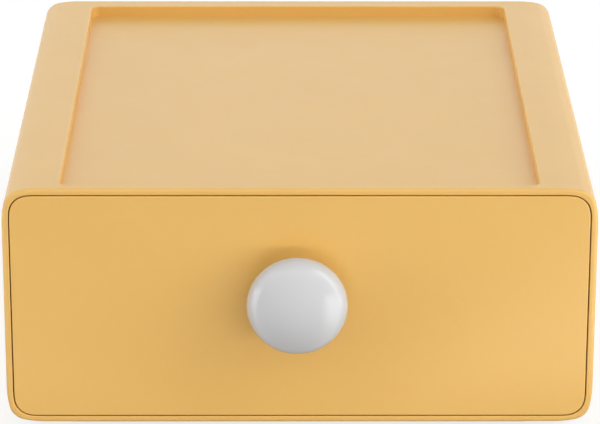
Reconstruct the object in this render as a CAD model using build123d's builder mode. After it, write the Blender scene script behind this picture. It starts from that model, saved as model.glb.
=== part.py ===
from build123d import *
import os
from math import atan2, cos, degrees, radians, sin

# A stackable drawer box in millimetres: a moulded case with a stacking recess in its top, a drawer
# that slides out at the front, a screwed-on knob and four rubber feet.
# +Z is up and the drawer opens towards -Y. The origin is the bottom centre of the whole box, with
# the knob counted in.

# ---- Driving dimensions ----

# Case
case_width = 180.0
case_height = 76.4
case_depth = 196.0
case_wall = 2.0
case_back_wall = 2.0
corner_radius = 5.7  # the tightest part of a corner of the case, seen from the front
corner_flare_radius = 30.0  # the gentle arc that leads into the corner on each side
corner_flare_angle = 12.4  # how far the gentle arc turns, in degrees
case_edge_radius = 1.0  # the outer edges of the case's front and back
opening_corner_radius = 5.9  # the same three for the case's inside, which is a little rounder
opening_flare_radius = 18.9
opening_flare_angle = 8.6
gap_edge_radius = 0.3  # the edges on both sides of the gap round the drawer's front

# Stacking recess in the top
recess_depth = 3.6
recess_side_rim = 17.5
recess_front_rim = 3.8
recess_rear_rim = 7.15
recess_corner_radius = 2.8
recess_floor_thickness = 2.0
recess_wall_thickness = 1.8
recess_edge_radius = 0.35

# Skirt and feet under the case, which drop into the recess of a box below
skirt_clearance = 0.5
skirt_drop = 1.8
skirt_thickness = 2.0
skirt_edge_radius = 0.5
foot_radius = 7.0
foot_drop = 4.0
foot_inset = 14.0  # from the skirt's outer faces to a foot's centre
foot_seat_depth = 0.5
foot_seat_clearance = 0.1
foot_edge_radius = 0.8
foot_core_radius = 3.5  # the inner of the two lands that a foot stands on
foot_groove_width = 1.5
foot_groove_depth = 0.6

# Runners, guides and stops inside the case
runner_width = 3.0
runner_height = 1.0
runner_inset = 25.0  # from the tray's side to a runner's centre
guide_depth = 1.2
guide_height = 3.0
guide_inset = 12.0  # from the tray's underside and from its rim to a guide's centre
rail_setback = 1.0  # from the back of the drawer's front to the runners and guides
stop_rib_width = 9.0
stop_rib_thickness = 2.5
stop_overlap = 2.0
stop_clearance = 0.9  # the height between the tray's rim and the stop ribs that it passes
stop_gap = 0.2  # left between tab and rib with the drawer fully open
stop_tab_width = 5.0
stop_tab_thickness = 1.6
stop_tab_root = 8.0  # how far a tab runs down the tray's back wall
stop_tab_offset = 1.2  # from the side of the recess pan to the tab
drawer_travel = 145.0

# Drawer
front_gap = 0.35
front_thickness = 3.0
front_stop_gap = 0.3  # between the front's upper lip and the recess pan
front_lip_clearance = 1.0  # between the thick part of the front and the recess pan
tray_wall = 1.6
tray_floor = 1.8
tray_guide_gap = 0.3
tray_head_gap = 1.3
tray_back_gap = 3.0
tray_corner_radius = 6.0
tray_underside_radius = 3.7
tray_rim_radius = 0.5
peg_radius = 2.0
peg_clearance = 0.1
peg_inset = 22.0  # from the tray's side to a peg's centre
peg_rise = 15.0  # from the tray's underside and from its rim to a peg's centre

# Knob and its fixing
knob_radius = 15.25
knob_shift = 0.8  # to the left of the box's middle
knob_rise = 4.7  # above the middle of the case
knob_rim_level = 10.5  # from the drawer's face to the knob's widest circle
knob_rim_radius = 5.5  # the rounding in front of the widest circle
knob_back_radius = 3.5  # the rounding behind it
knob_dome_height = 8.0  # from the widest circle to the top of the dome
knob_stem_radius = 6.2
knob_neck_radius = 3.0
insert_radius = 2.9
insert_length = 7.5
insert_setback = 0.4
insert_fit = 0.02
insert_bore_clearance = 0.05
insert_bottom_gap = 0.6
insert_groove_depth = 0.3
insert_groove_width = 1.2
screw_radius = 2.0
screw_grip = 6.6  # how far the screw reaches past the drawer's face
screw_hole_clearance = 0.25
screw_head_radius = 3.9
screw_head_height = 2.4
screw_head_crown_radius = 1.1
screw_tip_chamfer = 0.4
cross_length = 4.2
cross_width = 0.9
cross_depth = 1.3
washer_radius = 5.0
washer_thickness = 0.8
washer_hole_clearance = 0.2

# ---- Levels and places worked out from them ----

knob_reach = knob_rim_level + knob_dome_height
front_y = (knob_reach - case_depth) / 2
back_y = front_y + case_depth

case_bottom = foot_drop
case_middle = case_bottom + case_height / 2
case_top = case_bottom + case_height
recess_floor = case_top - recess_depth
pan_underside = recess_floor - recess_floor_thickness

recess_width = case_width - 2 * recess_side_rim
recess_front = front_y + recess_front_rim
recess_back = back_y - recess_rear_rim
recess_length = recess_back - recess_front
recess_middle = (recess_front + recess_back) / 2
pan_width = recess_width + 2 * recess_wall_thickness
pan_length = recess_length + 2 * recess_wall_thickness

skirt_width = recess_width - 2 * skirt_clearance
skirt_length = recess_length - 2 * skirt_clearance
skirt_radius = recess_corner_radius - skirt_clearance
foot_spacing_x = skirt_width - 2 * foot_inset
foot_spacing_y = skirt_length - 2 * foot_inset

tray_bottom = case_bottom + case_wall + runner_height
tray_top = pan_underside - tray_head_gap
tray_height = tray_top - tray_bottom
tray_front = front_y + front_thickness
tray_back = back_y - case_back_wall - tray_back_gap
tray_length = tray_back - tray_front
tray_middle = (tray_front + tray_back) / 2
tray_width = case_width - 2 * (case_wall + guide_depth + tray_guide_gap)

rail_front = tray_front + rail_setback
rail_length = back_y - case_back_wall / 2 - rail_front
rail_middle = rail_front + rail_length / 2
runner_spacing = tray_width - 2 * runner_inset
guide_reach = guide_depth + case_wall / 2
guide_middle_x = case_width / 2 - case_wall - guide_depth + guide_reach / 2
guide_spacing_z = tray_height - 2 * guide_inset
tray_mid_height = (tray_bottom + tray_top) / 2
peg_spacing_x = tray_width - 2 * peg_inset
peg_spacing_z = tray_height - 2 * peg_rise

stop_rib_bottom = tray_top + stop_clearance
stop_tab_top = stop_rib_bottom + stop_overlap
stop_tab_bottom = tray_top - stop_tab_root
stop_tab_middle = pan_width / 2 + stop_tab_offset + stop_tab_width / 2
stop_tab_front = tray_back - stop_tab_thickness
stop_rib_back = stop_tab_front - drawer_travel - stop_gap
stop_rib_middle_x = (pan_width + stop_rib_width) / 2

front_lip_thickness = recess_front_rim - recess_wall_thickness - front_stop_gap
front_lip_bottom = pan_underside - front_lip_clearance

knob_x = -knob_shift
knob_z = case_middle + knob_rise
screw_head_seat = tray_front + tray_wall + washer_thickness
screw_length = screw_head_seat - front_y + screw_grip
screw_hole_radius = screw_radius + screw_hole_clearance

# ---- Planes ----


def facing(y):
    """A plane across the box at depth y, seen from the front, centred on the case."""
    return Plane(origin=(0, y, case_middle), x_dir=(1, 0, 0), z_dir=(0, -1, 0))


def knob_facing(y):
    """The same, centred on the knob's axis."""
    return Plane(origin=(knob_x, y, knob_z), x_dir=(1, 0, 0), z_dir=(0, -1, 0))


# A plane through the knob's axis: x is the radius and y the distance out of the drawer's face.
knob_profile_plane = Plane(origin=(knob_x, front_y, knob_z), x_dir=(1, 0, 0), z_dir=(0, 0, -1))
knob_axis = Axis((knob_x, front_y, knob_z), (0, 1, 0))

# ---- Shared profiles ----


def rounded_outline(inset, tight, gentle, gentle_angle):
    """A rounded outline seen from the front, drawn in by inset from the case's outer faces.

    Each corner is a tight arc between two gentle ones that turn into it from the flats.
    """
    half_width = case_width / 2 - inset
    half_height = case_height / 2 - inset
    turn = radians(gentle_angle)
    reach = gentle - (gentle - tight) * (cos(turn) - sin(turn))
    tight_x = half_width - reach + (gentle - tight) * sin(turn)
    tight_y = half_height - reach + (gentle - tight) * sin(turn)
    with BuildSketch() as outline:
        with BuildLine():
            Line((0, half_height), (half_width - reach, half_height))
            CenterArc((half_width - reach, half_height - gentle), gentle, 90, -gentle_angle)
            CenterArc((tight_x, tight_y), tight, 90 - gentle_angle, 2 * gentle_angle - 90)
            CenterArc((half_width - gentle, half_height - reach), gentle, gentle_angle, -gentle_angle)
            Line((half_width, half_height - reach), (half_width, 0))
            mirror(about=Plane.YZ)
            mirror(about=Plane.XZ)
        make_face()
    return outline.sketch


def opening_outline(gap):
    """The outline of the case's inside, drawn in by gap."""
    return rounded_outline(case_wall + gap, opening_corner_radius - gap, opening_flare_radius - gap,
                           opening_flare_angle)


# ---- Case ----

with BuildPart() as case_shell:
    with BuildSketch(facing(front_y)):
        add(rounded_outline(0, corner_radius, corner_flare_radius, corner_flare_angle))
    extrude(amount=-case_depth)
    fillet(case_shell.faces().sort_by(Axis.Y)[0].edges(), case_edge_radius)
    fillet(case_shell.faces().sort_by(Axis.Y)[-1].edges(), case_edge_radius)
    with BuildSketch(facing(front_y)):
        add(opening_outline(0))
    extrude(amount=case_back_wall - case_depth, mode=Mode.SUBTRACT)
    fillet(case_shell.faces().sort_by(Axis.Y)[0].inner_wires()[0].edges(), gap_edge_radius)

    # The pan under the recess hangs from the top wall.
    with BuildSketch(Plane.XY.offset(pan_underside)):
        with Locations((0, recess_middle)):
            RectangleRounded(pan_width, pan_length, recess_corner_radius + recess_wall_thickness)
    extrude(amount=case_top - case_wall / 2 - pan_underside)
    with BuildSketch(Plane.XY.offset(recess_floor)):
        with Locations((0, recess_middle)):
            RectangleRounded(recess_width, recess_length, recess_corner_radius)
    extrude(amount=recess_depth, mode=Mode.SUBTRACT)
    fillet(case_shell.faces().sort_by(Axis.Z)[-1].inner_wires()[0].edges(), recess_edge_radius)

    # Runners carry the tray, and guides keep it central.
    with BuildSketch(Plane.XY.offset(tray_bottom)):
        with Locations((0, rail_middle)):
            with GridLocations(runner_spacing, 0, 2, 1):
                Rectangle(runner_width, rail_length)
    extrude(amount=-(runner_height + case_wall / 2))
    with BuildSketch(facing(rail_front)):
        with Locations((0, tray_mid_height - case_middle)):
            with GridLocations(2 * guide_middle_x, guide_spacing_z, 2, 2):
                Rectangle(guide_reach, guide_height)
    extrude(amount=-rail_length)

    # Two ribs stop the tray's tabs when the drawer is fully open.
    with BuildSketch(facing(stop_rib_back)):
        with Locations((0, (case_top - case_wall / 2 + stop_rib_bottom) / 2 - case_middle)):
            with GridLocations(2 * stop_rib_middle_x, 0, 2, 1):
                Rectangle(stop_rib_width, case_top - case_wall / 2 - stop_rib_bottom)
    extrude(amount=stop_rib_thickness)

    # The skirt drops into the recess of a box below, and the feet stand in shallow seats.
    with BuildSketch(Plane.XY.offset(case_bottom)):
        with Locations((0, recess_middle)):
            RectangleRounded(skirt_width, skirt_length, skirt_radius)
            offset(amount=-skirt_thickness, kind=Kind.INTERSECTION, mode=Mode.SUBTRACT)
    extrude(amount=-skirt_drop)
    fillet(case_shell.faces().sort_by(Axis.Z)[0].edges(), skirt_edge_radius)
    with BuildSketch(Plane.XY.offset(case_bottom)):
        with Locations((0, recess_middle)):
            with GridLocations(foot_spacing_x, foot_spacing_y, 2, 2):
                Circle(foot_radius + foot_seat_clearance)
    extrude(amount=foot_seat_depth, mode=Mode.SUBTRACT)

# ---- Drawer ----

with BuildPart() as drawer_front:
    with BuildSketch(facing(front_y)):
        add(opening_outline(front_gap))
    extrude(amount=-front_thickness)
    fillet(drawer_front.faces().sort_by(Axis.Y)[0].edges(), gap_edge_radius)
    # Its upper lip is thinner, to close in front of the recess pan.
    with BuildSketch(facing(front_y + front_lip_thickness)):
        with Locations((0, front_lip_bottom - case_middle)):
            Rectangle(case_width, case_height, align=(Align.CENTER, Align.MIN))
    extrude(amount=-front_thickness, mode=Mode.SUBTRACT)
    with BuildSketch(facing(tray_front)):
        with Locations((0, tray_mid_height - case_middle)):
            with GridLocations(peg_spacing_x, peg_spacing_z, 2, 2):
                Circle(peg_radius)
    extrude(amount=-tray_wall)
    with BuildSketch(knob_facing(front_y)):
        Circle(screw_hole_radius)
    extrude(amount=-front_thickness, mode=Mode.SUBTRACT)

with BuildPart() as drawer_tray:
    with BuildSketch(Plane.XY.offset(tray_bottom)):
        with Locations((0, tray_middle)):
            RectangleRounded(tray_width, tray_length, tray_corner_radius)
    extrude(amount=tray_height)
    fillet(drawer_tray.faces().sort_by(Axis.Z)[0].edges(), tray_underside_radius)
    with BuildSketch(Plane.XY.offset(tray_bottom + tray_floor)):
        with Locations((0, tray_middle)):
            RectangleRounded(tray_width - 2 * tray_wall, tray_length - 2 * tray_wall,
                             tray_corner_radius - tray_wall)
    extrude(amount=tray_height, mode=Mode.SUBTRACT)
    fillet(drawer_tray.faces().filter_by(Plane.XY).sort_by(Axis.Z)[1].edges(),
           tray_underside_radius - tray_wall)
    fillet(drawer_tray.faces().sort_by(Axis.Z)[-1].edges(), tray_rim_radius)
    # Tabs on the back wall meet the case's stop ribs.
    with BuildSketch(facing(tray_back)):
        with Locations((0, (stop_tab_bottom + stop_tab_top) / 2 - case_middle)):
            with GridLocations(2 * stop_tab_middle, 0, 2, 1):
                Rectangle(stop_tab_width, stop_tab_top - stop_tab_bottom)
    extrude(amount=stop_tab_thickness)
    with BuildSketch(facing(tray_front)):
        with Locations((0, tray_mid_height - case_middle)):
            with GridLocations(peg_spacing_x, peg_spacing_z, 2, 2):
                Circle(peg_radius + peg_clearance)
    extrude(amount=-tray_wall, mode=Mode.SUBTRACT)
    with BuildSketch(knob_facing(tray_front)):
        Circle(screw_hole_radius)
    extrude(amount=-tray_wall, mode=Mode.SUBTRACT)

# ---- Knob and its fixing ----

# The dome is a cap of the sphere that meets the rim's rounding without a crease.
rim_circle = knob_radius - knob_rim_radius
dome_radius = (rim_circle**2 + knob_dome_height**2 - knob_rim_radius**2) / (
    2 * (knob_dome_height - knob_rim_radius)
)
dome_centre = knob_reach - dome_radius
dome_end_angle = degrees(atan2(knob_rim_level - dome_centre, rim_circle))
back_circle = knob_radius - knob_back_radius
knob_underside = knob_rim_level - knob_back_radius

with BuildPart() as knob:
    with BuildSketch(knob_profile_plane):
        with BuildLine():
            Polyline((0, knob_reach), (0, 0), (knob_stem_radius, 0),
                     (knob_stem_radius, knob_underside - knob_neck_radius))
            CenterArc((knob_stem_radius + knob_neck_radius, knob_underside - knob_neck_radius),
                      knob_neck_radius, 180, -90)
            Line((knob_stem_radius + knob_neck_radius, knob_underside), (back_circle, knob_underside))
            CenterArc((back_circle, knob_rim_level), knob_back_radius, -90, 90)
            CenterArc((rim_circle, knob_rim_level), knob_rim_radius, 0, dome_end_angle)
            CenterArc((0, dome_centre), dome_radius, dome_end_angle, 90 - dome_end_angle)
        make_face()
    revolve(axis=knob_axis)
    with BuildSketch(knob_facing(front_y)):
        Circle(insert_radius + insert_fit)
    extrude(amount=insert_setback + insert_length + insert_bottom_gap, mode=Mode.SUBTRACT)

with BuildPart() as knob_insert:
    with BuildSketch(knob_facing(front_y - insert_setback)):
        Circle(insert_radius)
        Circle(screw_radius + insert_bore_clearance, mode=Mode.SUBTRACT)
    extrude(amount=insert_length)
    with BuildSketch(knob_facing(front_y - insert_setback - (insert_length - insert_groove_width) / 2)):
        Circle(insert_radius)
        Circle(insert_radius - insert_groove_depth, mode=Mode.SUBTRACT)
    extrude(amount=insert_groove_width, mode=Mode.SUBTRACT)

with BuildPart() as knob_screw:
    with BuildSketch(knob_facing(screw_head_seat)):
        Circle(screw_radius)
    extrude(amount=screw_length)
    chamfer(knob_screw.edges().sort_by(Axis.Y)[0], screw_tip_chamfer)
    with BuildSketch(knob_facing(screw_head_seat)):
        Circle(screw_head_radius)
    extrude(amount=-screw_head_height)
    fillet(knob_screw.edges().sort_by(Axis.Y)[-1], screw_head_crown_radius)
    with BuildSketch(knob_facing(screw_head_seat + screw_head_height)):
        Rectangle(cross_length, cross_width)
        Rectangle(cross_width, cross_length)
    extrude(amount=cross_depth, mode=Mode.SUBTRACT)

with BuildPart() as knob_washer:
    with BuildSketch(knob_facing(screw_head_seat)):
        Circle(washer_radius)
        Circle(screw_radius + washer_hole_clearance, mode=Mode.SUBTRACT)
    extrude(amount=washer_thickness)

# ---- Feet ----


def rubber_foot(x, y):
    """One foot, which stands on the ground at x, y and is glued into its seat in the case."""
    with BuildPart() as foot:
        with BuildSketch(Plane((x, y, 0))):
            Circle(foot_radius)
        extrude(amount=case_bottom + foot_seat_depth)
        fillet(foot.edges().sort_by(Axis.Z)[0], foot_edge_radius)
        with BuildSketch(Plane((x, y, 0))):
            Circle(foot_core_radius + foot_groove_width)
            Circle(foot_core_radius, mode=Mode.SUBTRACT)
        extrude(amount=foot_groove_depth, mode=Mode.SUBTRACT)
    return foot


front_foot_y = recess_middle - foot_spacing_y / 2
rear_foot_y = recess_middle + foot_spacing_y / 2
foot_front_left = rubber_foot(-foot_spacing_x / 2, front_foot_y)
foot_front_right = rubber_foot(foot_spacing_x / 2, front_foot_y)
foot_rear_left = rubber_foot(-foot_spacing_x / 2, rear_foot_y)
foot_rear_right = rubber_foot(foot_spacing_x / 2, rear_foot_y)

# ---- Files ----

os.makedirs("parts", exist_ok=True)

case_shell.part.label = "case_shell"
export_step(case_shell.part, "parts/case_shell.step")
drawer_front.part.label = "drawer_front"
export_step(drawer_front.part, "parts/drawer_front.step")
drawer_tray.part.label = "drawer_tray"
export_step(drawer_tray.part, "parts/drawer_tray.step")
knob.part.label = "knob"
export_step(knob.part, "parts/knob.step")
knob_insert.part.label = "knob_insert"
export_step(knob_insert.part, "parts/knob_insert.step")
knob_screw.part.label = "knob_screw"
export_step(knob_screw.part, "parts/knob_screw.step")
knob_washer.part.label = "knob_washer"
export_step(knob_washer.part, "parts/knob_washer.step")
foot_front_left.part.label = "foot_front_left"
export_step(foot_front_left.part, "parts/foot_front_left.step")
foot_front_right.part.label = "foot_front_right"
export_step(foot_front_right.part, "parts/foot_front_right.step")
foot_rear_left.part.label = "foot_rear_left"
export_step(foot_rear_left.part, "parts/foot_rear_left.step")
foot_rear_right.part.label = "foot_rear_right"
export_step(foot_rear_right.part, "parts/foot_rear_right.step")
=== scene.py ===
import logging
import math
from dataclasses import dataclass, field
from enum import Enum
from typing import Any, Optional, Sequence, Union

import bpy
from mathutils import Matrix, Vector


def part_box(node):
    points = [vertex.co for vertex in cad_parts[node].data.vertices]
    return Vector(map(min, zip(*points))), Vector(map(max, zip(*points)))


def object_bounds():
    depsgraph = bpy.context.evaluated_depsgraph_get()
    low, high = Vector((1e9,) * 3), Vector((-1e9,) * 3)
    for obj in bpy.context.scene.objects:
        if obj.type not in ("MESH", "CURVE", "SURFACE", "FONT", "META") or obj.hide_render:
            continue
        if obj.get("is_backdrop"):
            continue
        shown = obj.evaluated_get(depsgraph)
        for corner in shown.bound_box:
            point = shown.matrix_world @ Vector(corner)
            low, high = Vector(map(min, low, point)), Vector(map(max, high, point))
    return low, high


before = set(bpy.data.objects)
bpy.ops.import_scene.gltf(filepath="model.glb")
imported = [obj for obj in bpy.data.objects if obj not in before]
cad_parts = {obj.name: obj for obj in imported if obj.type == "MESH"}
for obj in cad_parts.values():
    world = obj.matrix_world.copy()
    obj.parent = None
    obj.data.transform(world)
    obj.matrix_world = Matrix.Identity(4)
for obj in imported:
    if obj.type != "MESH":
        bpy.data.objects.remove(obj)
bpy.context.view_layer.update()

logging.basicConfig(level=logging.INFO, format="%(message)s")
log = logging.getLogger("drawer_box")

MM = 0.001
PHOTO_WIDTH = 600
Colour = tuple[float, float, float]
Number = Union["Signal", float]
Finish = Union["MouldedPlastic", "TurnedMetal"]


# ---------------------------------------------------------------------------
# Colours
# ---------------------------------------------------------------------------


def from_srgb(red: float, green: float, blue: float) -> Colour:
    """Turns a colour as a screen shows it into the linear one that a shader takes.

    Args:
        red: Red, 0 to 255.
        green: Green, 0 to 255.
        blue: Blue, 0 to 255.

    Returns:
        The linear colour.
    """

    def channel(value: float) -> float:
        """One channel of the colour, made linear."""
        share = value / 255
        return share / 12.92 if share <= 0.04045 else ((share + 0.055) / 1.055) ** 2.4

    return channel(red), channel(green), channel(blue)


def scaled(colour: Colour, factor: float) -> Colour:
    """A colour made lighter or darker by a factor."""
    return tuple(min(1.0, part * factor) for part in colour)


# ---------------------------------------------------------------------------
# Shader building
# ---------------------------------------------------------------------------


class Signal:
    """A number that flows through a material, on which Python's own operators work."""

    def __init__(self, graph: "Graph", socket: bpy.types.NodeSocket) -> None:
        """Wraps a socket.

        Args:
            graph: The node tree that the socket belongs to.
            socket: The output socket that carries the number.
        """
        self.graph = graph
        self.socket = socket

    def _maths(self, operation: str, first: Number, second: Number = 0.0) -> "Signal":
        """Adds one Math node.

        Args:
            operation: The Math node's operation.
            first: Its first value or signal.
            second: Its second value or signal.

        Returns:
            The node's result.
        """
        return self.graph.add("ShaderNodeMath", {"operation": operation}, {0: first, 1: second})

    def __add__(self, other: Number) -> "Signal":
        """self + other."""
        return self._maths("ADD", self, other)

    def __radd__(self, other: Number) -> "Signal":
        """other + self."""
        return self._maths("ADD", other, self)

    def __sub__(self, other: Number) -> "Signal":
        """self - other."""
        return self._maths("SUBTRACT", self, other)

    def __rsub__(self, other: Number) -> "Signal":
        """other - self."""
        return self._maths("SUBTRACT", other, self)

    def __mul__(self, other: Number) -> "Signal":
        """self * other."""
        return self._maths("MULTIPLY", self, other)

    def __rmul__(self, other: Number) -> "Signal":
        """other * self."""
        return self._maths("MULTIPLY", other, self)

    def __neg__(self) -> "Signal":
        """-self."""
        return self._maths("MULTIPLY", self, -1.0)

    def maximum(self, other: Number) -> "Signal":
        """The larger of self and other."""
        return self._maths("MAXIMUM", self, other)

    def absolute(self) -> "Signal":
        """self without its sign."""
        return self._maths("ABSOLUTE", self)

    def sine(self) -> "Signal":
        """The sine of self, in radians."""
        return self._maths("SINE", self)

    def root(self) -> "Signal":
        """The square root of self."""
        return self._maths("SQRT", self)

    def ramp(self, start: float, end: float) -> "Signal":
        """Rises smoothly from 0 to 1.

        Args:
            start: Where self leaves 0.
            end: Where self reaches 1.

        Returns:
            The smooth step.
        """
        settings = {"interpolation_type": "SMOOTHSTEP"}
        inputs = {"Value": self, "From Min": start, "From Max": end}
        return self.graph.add("ShaderNodeMapRange", settings, inputs)


class Graph:
    """A material's or the world's node tree, emptied and ready to be filled."""

    def __init__(self, owner: Union[bpy.types.Material, bpy.types.World]) -> None:
        """Empties the owner's node tree.

        Args:
            owner: The material or world whose nodes are to be built.
        """
        owner.use_nodes = True
        self.tree = owner.node_tree
        self.tree.nodes.clear()

    def add(
        self,
        kind: str,
        settings: Optional[dict[str, Any]] = None,
        inputs: Optional[dict[Union[int, str], Any]] = None,
        output: Union[int, str] = 0,
    ) -> Signal:
        """Adds a node of any type.

        Args:
            kind: The node's type.
            settings: Properties of the node, set before its sockets.
            inputs: Values or signals for its input sockets, by name or place.
            output: The output socket to return.

        Returns:
            The chosen output of the new node.
        """
        node = self.tree.nodes.new(kind)
        for name, value in (settings or {}).items():
            setattr(node, name, value)
        for key, value in (inputs or {}).items():
            if isinstance(value, Signal):
                self.tree.links.new(value.socket, node.inputs[key])
            else:
                node.inputs[key].default_value = value
        return Signal(self, node.outputs[output])

    def finish(self, kind: str, surface: Signal) -> None:
        """Links a shader to the output node.

        Args:
            kind: The output node's type.
            surface: The shader to show.
        """
        output = self.tree.nodes.new(kind)
        self.tree.links.new(surface.socket, output.inputs["Surface"])

    def ray(self, kind: str) -> Signal:
        """1 for rays of one kind, such as Camera or Glossy, and 0 for all others."""
        return self.add("ShaderNodeLightPath", output=f"Is {kind} Ray")

    def point(self, centre: Sequence[float] = (0.0, 0.0, 0.0)) -> Signal:
        """The place on the object, counted from a centre.

        Args:
            centre: The centre, in metres.

        Returns:
            The place as a vector.
        """
        place = self.add("ShaderNodeTexCoord", output="Object")
        shift = tuple(-part for part in centre)
        return self.add("ShaderNodeMapping", {}, {"Vector": place, "Location": shift})

    def axes(self, point: Signal) -> tuple[Signal, Signal, Signal]:
        """Splits a vector into its three numbers.

        Args:
            point: The vector.

        Returns:
            Its x, y and z.
        """
        across = self.add("ShaderNodeSeparateXYZ", {}, {"Vector": point})
        _, along, up = across.socket.node.outputs
        return across, Signal(self, along), Signal(self, up)

    def length(self, point: Signal, keep: tuple[float, float, float]) -> Signal:
        """The distance from the centre along some of the axes.

        Args:
            point: The place.
            keep: 1 for each axis that counts, and 0 for the others.

        Returns:
            The distance.
        """
        flat = self.add("ShaderNodeVectorMath", {"operation": "MULTIPLY"}, {0: point, 1: keep})
        return self.add("ShaderNodeVectorMath", {"operation": "LENGTH"}, {0: flat}, output="Value")

    def noise(self, size: float, detail: float = 2.0, roughness: float = 0.5) -> Signal:
        """Adds a soft random pattern on the object's own coordinates.

        Args:
            size: The rough size of a blotch, in metres.
            detail: How many finer layers are added to it.
            roughness: How strong the finer layers are.

        Returns:
            A number about 0.5, mostly between 0.3 and 0.7.
        """
        values = {
            "Vector": self.point(),
            "Scale": 1.0 / size,
            "Detail": detail,
            "Roughness": roughness,
        }
        return self.add("ShaderNodeTexNoise", {"noise_dimensions": "3D"}, values)

    def bump(self, height: Signal, depth: float, under: Optional[Signal] = None) -> Signal:
        """Adds a Bump node.

        Args:
            height: The relief, 0 to 1.
            depth: How deep the relief is, in metres.
            under: A normal that the relief lies on, or None for the surface's own.

        Returns:
            The bumped normal.
        """
        inputs = {"Strength": 1.0, "Distance": depth, "Height": height}
        if under is not None:
            inputs["Normal"] = under
        return self.add("ShaderNodeBump", {}, inputs)

    def mix(self, share: Signal, first: Colour, second: Colour) -> Signal:
        """Mixes two colours.

        Args:
            share: How much of the second colour to take, from 0 to 1.
            first: The first colour.
            second: The second colour.

        Returns:
            The mixed colour.
        """
        colours = {"Factor": share, 6: (*first, 1.0), 7: (*second, 1.0)}
        return self.add("ShaderNodeMix", {"data_type": "RGBA"}, colours, output=2)

    def switch(self, share: Signal, first: Signal, second: Signal) -> Signal:
        """Mixes two vectors.

        Args:
            share: How much of the second vector to take, from 0 to 1.
            first: The first vector.
            second: The second vector.

        Returns:
            The mixed vector.
        """
        vectors = {"Factor": share, 4: first, 5: second}
        return self.add("ShaderNodeMix", {"data_type": "VECTOR"}, vectors, output=1)


# ---------------------------------------------------------------------------
# Finishes
# ---------------------------------------------------------------------------


class MouldFace(Enum):
    """How a mould's face was finished: the size and depth of the grain that it leaves."""

    FINE_SPARKED = (0.32 * MM, 0.0045 * MM)
    POLISHED = (0.9 * MM, 0.0012 * MM)
    COARSE = (0.45 * MM, 0.03 * MM)

    @property
    def grain(self) -> float:
        """The size of one grain, in metres."""
        return self.value[0]

    @property
    def depth(self) -> float:
        """The depth of the grain, in metres."""
        return self.value[1]


@dataclass(frozen=True)
class EjectorPins:
    """The faint round dents that the mould's pins leave in the drawer's floor."""

    spacing: tuple[float, float] = (88 * MM, 62 * MM)
    radius: float = 3.2 * MM
    edge: float = 0.25 * MM
    depth: float = 0.06 * MM

    def under(self, graph: Graph, normal: Signal) -> Signal:
        """Adds the marks to a surface.

        Args:
            graph: The material's nodes.
            normal: The surface's normal so far.

        Returns:
            The normal with the marks in it.
        """
        offsets = []
        for place, pitch in zip(graph.axes(graph.point()), self.spacing):
            fold = graph.add("ShaderNodeMath", {"operation": "PINGPONG"}, {0: place, 1: pitch / 2})
            offsets.append(pitch / 2 - fold)
        across, along = offsets
        reach = (across * across + along * along).root()
        return graph.bump(reach.ramp(self.radius - self.edge, self.radius), self.depth, normal)


@dataclass(frozen=True)
class MouldedPlastic:
    """An opaque moulding with the grain of its mould, faint flow marks and a little handling.

    The light goes into it a little way. A domed piece has a tip, a radius round its axis within
    which all its facets meet.
    """

    name: str
    colour: Colour
    roughness: float
    face: MouldFace
    pins: Optional[EjectorPins] = None
    ior: float = 1.5
    depth_of_light: float = 1.2 * MM
    light_spread: Colour = (1.0, 0.6, 0.3)
    clouding: float = 0.35
    tint_spread: float = 0.025
    blotch: float = 38 * MM
    sink_depth: float = 0.02 * MM
    rub: float = 9 * MM
    roughness_spread: float = 0.1
    tip: float = 0.0
    tip_edge: float = 0.95

    def material(self, centre: Vector) -> bpy.types.Material:
        """Builds the finish.

        Args:
            centre: The middle of the piece, on whose axis its tip lies.

        Returns:
            The new material.
        """
        made = bpy.data.materials.new(self.name)
        graph = Graph(made)
        blotches = graph.noise(self.blotch, detail=1.0)
        rubs = graph.noise(self.rub, detail=4.0, roughness=0.6)
        grain = graph.noise(self.face.grain, detail=2.0)
        own = self.tip_normal(graph, centre) if self.tip > 0 else None
        normal = graph.bump(grain, self.face.depth, graph.bump(blotches, self.sink_depth, own))
        if self.pins is not None:
            normal = self.pins.under(graph, normal)
        darker = scaled(self.colour, 1 - self.tint_spread)
        lighter = scaled(self.colour, 1 + self.tint_spread)
        values = {
            "Base Color": graph.mix(blotches, darker, lighter),
            "Roughness": (rubs - 0.5) * self.roughness_spread + self.roughness,
            "Normal": normal,
            "IOR": self.ior,
            "Subsurface Weight": self.clouding,
            "Subsurface Radius": self.light_spread,
            "Subsurface Scale": self.depth_of_light,
        }
        graph.finish("ShaderNodeOutputMaterial", graph.add("ShaderNodeBsdfPrincipled", {}, values))
        return made

    def tip_normal(self, graph: Graph, centre: Vector) -> Signal:
        """The normal of a domed piece, taken from its facets where they all meet in one point.

        Args:
            graph: The material's nodes.
            centre: A point on the dome's axis, which runs along y.

        Returns:
            The normal.
        """
        radius = graph.length(graph.point(centre), (1.0, 0.0, 1.0))
        facet = graph.add("ShaderNodeNewGeometry", output="True Normal")
        smooth = graph.add("ShaderNodeNewGeometry", output="Normal")
        return graph.switch(radius.ramp(self.tip * self.tip_edge, self.tip), facet, smooth)


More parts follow.
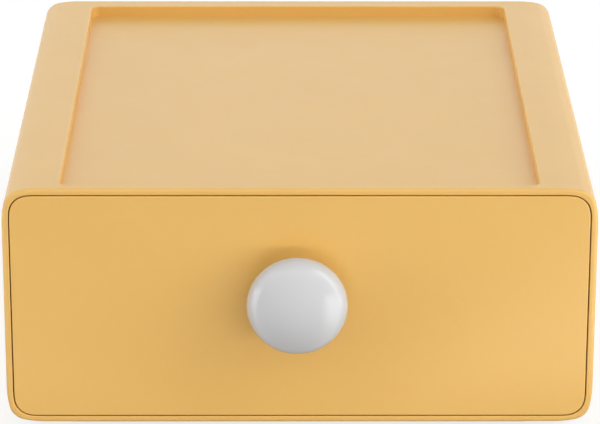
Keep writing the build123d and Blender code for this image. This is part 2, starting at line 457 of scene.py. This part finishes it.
@dataclass(frozen=True)
class TurnedMetal:
    """A plated or bare metal part with the fine rings that turning leaves round its axis."""

    name: str
    colour: Colour
    roughness: float
    pitch: float = 0.22 * MM
    depth: float = 0.004 * MM
    wear: float = 2 * MM
    darkest: float = 0.9
    lightest: float = 1.05
    roughness_spread: float = 0.25

    def material(self, centre: Vector) -> bpy.types.Material:
        """Builds the finish.

        Args:
            centre: A point on the axis that the rings go round.

        Returns:
            The new material.
        """
        made = bpy.data.materials.new(self.name)
        graph = Graph(made)
        wear = graph.noise(self.wear, detail=3.0)
        radius = graph.length(graph.point(centre), (1.0, 0.0, 1.0))
        rings = (radius * (2 * math.pi / self.pitch)).sine() * 0.5 + 0.5
        darker, lighter = scaled(self.colour, self.darkest), scaled(self.colour, self.lightest)
        values = {
            "Base Color": graph.mix(wear, darker, lighter),
            "Metallic": 1.0,
            "Roughness": (wear - 0.5) * self.roughness_spread + self.roughness,
            "Normal": graph.bump(rings, self.depth, graph.bump(wear, self.depth)),
        }
        graph.finish("ShaderNodeOutputMaterial", graph.add("ShaderNodeBsdfPrincipled", {}, values))
        return made


YELLOW = MouldedPlastic(
    "yellow_satin_plastic", from_srgb(234, 188, 104), 0.36, MouldFace.FINE_SPARKED
)
TRAY_YELLOW = MouldedPlastic(
    "yellow_tray_plastic", YELLOW.colour, 0.42, MouldFace.FINE_SPARKED, EjectorPins()
)
WHITE = MouldedPlastic(
    "white_gloss_plastic",
    from_srgb(206, 206, 207),
    0.17,
    MouldFace.POLISHED,
    clouding=0.0,
    tint_spread=0.01,
    tip=1.0 * MM,
)
RUBBER = MouldedPlastic(
    "foot_rubber",
    from_srgb(58, 58, 60),
    0.75,
    MouldFace.COARSE,
    clouding=0.0,
    tint_spread=0.15,
    blotch=6 * MM,
)
ZINC = TurnedMetal("zinc_plate", from_srgb(205, 207, 210), 0.3)
BRASS = TurnedMetal("brass", from_srgb(222, 184, 108), 0.3)


# ---------------------------------------------------------------------------
# The object
# ---------------------------------------------------------------------------


def dress(node: str, finish: Finish) -> None:
    """Gives a CAD piece its finish.

    Args:
        node: The piece's name.
        finish: What it is made of.
    """
    low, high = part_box(node)
    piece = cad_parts[node]
    piece.data.materials.clear()
    piece.data.materials.append(finish.material((low + high) / 2))
    log.info("%s: %s", node, finish.name)


@dataclass
class Case:
    """The moulded case with its stacking recess, skirt and rails."""

    node: str = "case_shell"
    finish: MouldedPlastic = YELLOW

    def dress(self) -> None:
        """Gives the case its finish."""
        dress(self.node, self.finish)


@dataclass
class Drawer:
    """The drawer's front plate and the tray behind it."""

    front: str = "drawer_front"
    tray: str = "drawer_tray"
    front_finish: MouldedPlastic = YELLOW
    tray_finish: MouldedPlastic = TRAY_YELLOW

    def dress(self) -> None:
        """Gives the front and the tray their finishes."""
        dress(self.front, self.front_finish)
        dress(self.tray, self.tray_finish)


@dataclass
class Knob:
    """The knob with the parts that fix it."""

    head: str = "knob"
    insert: str = "knob_insert"
    fixing: tuple[str, ...] = ("knob_screw", "knob_washer")
    head_finish: MouldedPlastic = WHITE
    insert_finish: TurnedMetal = BRASS
    fixing_finish: TurnedMetal = ZINC

    def dress(self) -> None:
        """Gives the knob and its fixing their finishes."""
        dress(self.head, self.head_finish)
        dress(self.insert, self.insert_finish)
        for node in self.fixing:
            dress(node, self.fixing_finish)


@dataclass
class Feet:
    """The four rubber feet."""

    ends: tuple[str, ...] = ("front", "rear")
    sides: tuple[str, ...] = ("left", "right")
    finish: MouldedPlastic = RUBBER

    def dress(self) -> None:
        """Gives the feet their finish."""
        for end in self.ends:
            for side in self.sides:
                dress(f"foot_{end}_{side}", self.finish)


# ---------------------------------------------------------------------------
# The studio
# ---------------------------------------------------------------------------


@dataclass
class PhotoCamera:
    """The camera, where it stood for the photograph."""

    focal_pixels: float = 3371.6
    pitch: float = 20.344
    yaw: float = 0.230
    roll: float = 0.073
    left_of_middle: float = 3.8 * MM
    before_front: float = 951.55 * MM
    above_top: float = 345.5 * MM
    sensor: float = 36.0
    reach: float = 20.0

    def build(self) -> bpy.types.Object:
        """Makes the camera and makes it the scene's own.

        Returns:
            The camera's object.
        """
        low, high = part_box("case_shell")
        pitch, yaw, roll = (math.radians(angle) for angle in (self.pitch, self.yaw, self.roll))
        ahead = Vector(
            (math.sin(yaw) * math.cos(pitch), math.cos(yaw) * math.cos(pitch), -math.sin(pitch))
        )
        level = ahead.cross(Vector((0, 0, 1))).normalized()
        upright = level.cross(ahead)
        right = math.cos(roll) * level + math.sin(roll) * upright
        up = math.cos(roll) * upright - math.sin(roll) * level
        data = bpy.data.cameras.new("photo_camera")
        data.sensor_width = self.sensor
        data.lens = self.focal_pixels * self.sensor / PHOTO_WIDTH
        data.clip_end = self.reach
        camera = bpy.data.objects.new("photo_camera", data)
        bpy.context.scene.collection.objects.link(camera)
        turn = Matrix((right, up, -ahead)).transposed().to_4x4()
        place = Vector((-self.left_of_middle, low.y - self.before_front, high.z + self.above_top))
        camera.matrix_world = Matrix.Translation(place) @ turn
        bpy.context.scene.camera = camera
        return camera


@dataclass
class Panel:
    """A large flat studio lamp, given by the part of the view round the object that it fills.

    Azimuths are counted from straight before the box, to its right, and elevations from the floor.
    """

    name: str
    azimuths: tuple[float, float]
    elevations: tuple[float, float]
    radiance: float
    distance: float = 2.6

    def build(self, target: Vector) -> bpy.types.Object:
        """Makes the lamp.

        Args:
            target: The point that it shines at.

        Returns:
            The lamp's object.
        """
        turn, half_width = self._middle(self.azimuths)
        rise, half_height = self._middle(self.elevations)
        towards = Vector(
            (math.sin(turn) * math.cos(rise), -math.cos(turn) * math.cos(rise), math.sin(rise))
        )
        size = (2 * self.distance * math.tan(half_width), 2 * self.distance * math.tan(half_height))
        place = target + self.distance * towards
        return area_lamp(self.name, place, -towards, size, self.radiance)

    @staticmethod
    def _middle(angles: tuple[float, float]) -> tuple[float, float]:
        """The middle of a range in degrees and half its width, both in radians."""
        start, end = (math.radians(angle) for angle in angles)
        return (start + end) / 2, (end - start) / 2


@dataclass
class LowStrip:
    """A lamp lower than the box, which lights its front and leaves its top alone."""

    name: str = "low_strip"
    azimuth: float = 22.0
    distance: float = 2.0
    width: float = 3.2
    height: float = 0.07
    lift: float = 2 * MM
    radiance: float = 24.0

    def build(self, target: Vector) -> bpy.types.Object:
        """Makes the lamp.

        Args:
            target: A point on the box's front.

        Returns:
            The lamp's object.
        """
        turn = math.radians(self.azimuth)
        towards = Vector((math.sin(turn), -math.cos(turn), 0))
        below = Vector((target.x, target.y, self.lift + self.height / 2))
        place, size = below + self.distance * towards, (self.width, self.height)
        lamp = area_lamp(self.name, place, -towards, size, self.radiance)
        lamp.visible_glossy = False
        return lamp


def area_lamp(
    name: str, place: Vector, aim: Vector, size: tuple[float, float], radiance: float
) -> bpy.types.Object:
    """Makes a rectangular lamp.

    Args:
        name: Its name.
        place: Its middle.
        aim: The direction that it shines in.
        size: Its width and height.
        radiance: How bright it looks: 1 looks white.

    Returns:
        The lamp's object.
    """
    data = bpy.data.lights.new(name, "AREA")
    data.shape = "RECTANGLE"
    data.size, data.size_y = size
    data.energy = math.pi * radiance * size[0] * size[1]
    lamp = bpy.data.objects.new(name, data)
    bpy.context.scene.collection.objects.link(lamp)
    turn = aim.to_track_quat("-Z", "Y").to_matrix().to_4x4()
    lamp.matrix_world = Matrix.Translation(place) @ turn
    return lamp


@dataclass
class Floor:
    """A pale table, white to the camera but for the object's shadow.

    In reflections its glow is painted, as bright as a lit table: painted light beyond two lines
    that run away from the knob's foot towards the lamps at the sides, as far as the floor before
    the box goes, and painted shade close to the box. From below it can't be seen, so that the
    underside shows.
    """

    size: float = 12.0
    colour: float = 0.3
    seen_glow: float = 0.78
    mirrored_glow: float = 1.0
    # Painted light in reflections, brighter beyond lines towards the side lamps.
    right_azimuth: float = 36.0
    right_painted_light: float = 3.6
    left_azimuth: float = -55.0
    left_painted_light: float = 2.8
    softness: float = 30 * MM
    ahead_softness: float = 60 * MM
    # Painted shade in reflections, darker close to the box.
    painted_shade_reach: float = 90 * MM
    painted_shade_depth: float = 0.6

    def build(self) -> bpy.types.Object:
        """Lays the floor that the feet stand on.

        Returns:
            The floor's object.
        """
        bpy.ops.object.select_all(action="DESELECT")
        bpy.ops.mesh.primitive_plane_add(size=self.size, location=(0, 0, 0))
        floor = bpy.context.object
        floor.name = "floor"
        floor.data.materials.append(self.material())
        floor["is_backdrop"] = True
        return floor

    def material(self) -> bpy.types.Material:
        """Builds the floor's finish.

        Returns:
            The new material.
        """
        made = bpy.data.materials.new("floor_white")
        graph = Graph(made)
        paper = graph.add("ShaderNodeBsdfDiffuse", {}, {"Color": (*[self.colour] * 3, 1.0)})
        reflected = graph.ray("Glossy").maximum(graph.ray("Transmission"))
        strength = graph.ray("Camera") * self.seen_glow + reflected * self.mirrored(graph)
        glow = graph.add("ShaderNodeEmission", {}, {"Strength": strength})
        both = graph.add("ShaderNodeAddShader", {}, {0: paper, 1: glow})
        below = graph.add("ShaderNodeNewGeometry", output="Backfacing")
        clear = graph.add("ShaderNodeBsdfTransparent")
        surface = graph.add("ShaderNodeMixShader", {}, {"Fac": below, 1: both, 2: clear})
        graph.finish("ShaderNodeOutputMaterial", surface)
        return made

    def mirrored(self, graph: Graph) -> Signal:
        """How bright the floor is in reflections, with its painted light and painted shade.

        Args:
            graph: The floor's nodes.

        Returns:
            The strength of its glow.
        """
        return (self.painted_side_light(graph) + self.mirrored_glow) * self.painted_shade(graph)

    def painted_side_light(self, graph: Graph) -> Signal:
        """Painted light that the floor before the box shows in reflections, standing in for the
        side lamps.

        Args:
            graph: The floor's nodes.

        Returns:
            The extra glow.
        """
        low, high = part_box("knob")
        foot = ((low.x + high.x) / 2, low.y, 0.0)
        across, along, _ = graph.axes(graph.point(foot))
        right, left = math.radians(self.right_azimuth), math.radians(self.left_azimuth)
        beyond_right = across * math.cos(right) + along * math.sin(right)
        beyond_left = -(across * math.cos(left) + along * math.sin(left))
        # Painted light: an extra glow towards the side lamps, which the lamps don't cast on the
        # floor.
        extra = (
            beyond_right.ramp(0.0, self.softness) * self.right_painted_light
            + beyond_left.ramp(0.0, self.softness) * self.left_painted_light
        )
        return extra * (-along).ramp(-self.ahead_softness, self.ahead_softness)

    def painted_shade(self, graph: Graph) -> Signal:
        """Painted shade: how much of its glow the floor keeps close to the box.

        Args:
            graph: The floor's nodes.

        Returns:
            A factor that rises to 1 away from the box.
        """
        low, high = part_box("case_shell")
        middle, half = (low + high) / 2, (high - low) / 2
        across, along, _ = graph.axes(graph.point((middle.x, middle.y, 0.0)))
        outside = (across.absolute() - half.x).maximum(along.absolute() - half.y)
        # Painted shade: the reflected glow dims towards the box.
        return outside.ramp(0.0, self.painted_shade_reach) * self.painted_shade_depth + (1.0 - self.painted_shade_depth)


@dataclass
class Studio:
    """A pale floor, an even white surround and large soft lamps."""

    surround: float = 0.2
    floor: Floor = field(default_factory=Floor)
    strip: LowStrip = field(default_factory=LowStrip)
    panels: tuple[Panel, ...] = (
        Panel("right_near", (36, 58), (0, 56), 1.05),
        Panel("right_side", (58, 80), (0, 56), 3.25),
        Panel("right_back", (80, 118), (0, 30), 1.01),
        Panel("left_low", (-98, -54), (0, 12), 3.59),
        Panel("left_high", (-98, -54), (12, 56), 1.03),
        Panel("left_back", (-140, -98), (0, 40), 0.67),
        Panel("front_low", (-54, 36), (0, 28), 0.20),
        Panel("front_high", (-45, 30), (28, 60), 0.75),
        Panel("back", (150, 210), (6, 60), 0.49),
    )

    def build_world(self) -> None:
        """Lights the surround evenly, and shows it white."""
        world = bpy.data.worlds.new("surround")
        bpy.context.scene.world = world
        graph = Graph(world)
        white = graph.ray("Camera").maximum(graph.ray("Glossy")).maximum(graph.ray("Transmission"))
        strength = white * (1.0 - self.surround) + self.surround
        values = {"Color": (1.0, 1.0, 1.0, 1.0), "Strength": strength}
        graph.finish("ShaderNodeOutputWorld", graph.add("ShaderNodeBackground", {}, values))

    def build(self) -> None:
        """Makes the floor, the surround and the lamps."""
        low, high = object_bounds()
        middle = (low + high) / 2
        face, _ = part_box("drawer_front")
        self.build_world()
        self.floor.build()
        for panel in self.panels:
            panel.build(middle)
        self.strip.build(Vector((middle.x, face.y, 0)))
        log.info("studio: %d panels and a low strip", len(self.panels))


def main() -> None:
    """Builds the whole scene."""
    PhotoCamera().build()
    for part in (Case(), Drawer(), Knob(), Feet()):
        part.dress()
    Studio().build()
    bpy.context.scene.view_settings.view_transform = "Standard"


if __name__ == "__main__":
    main()
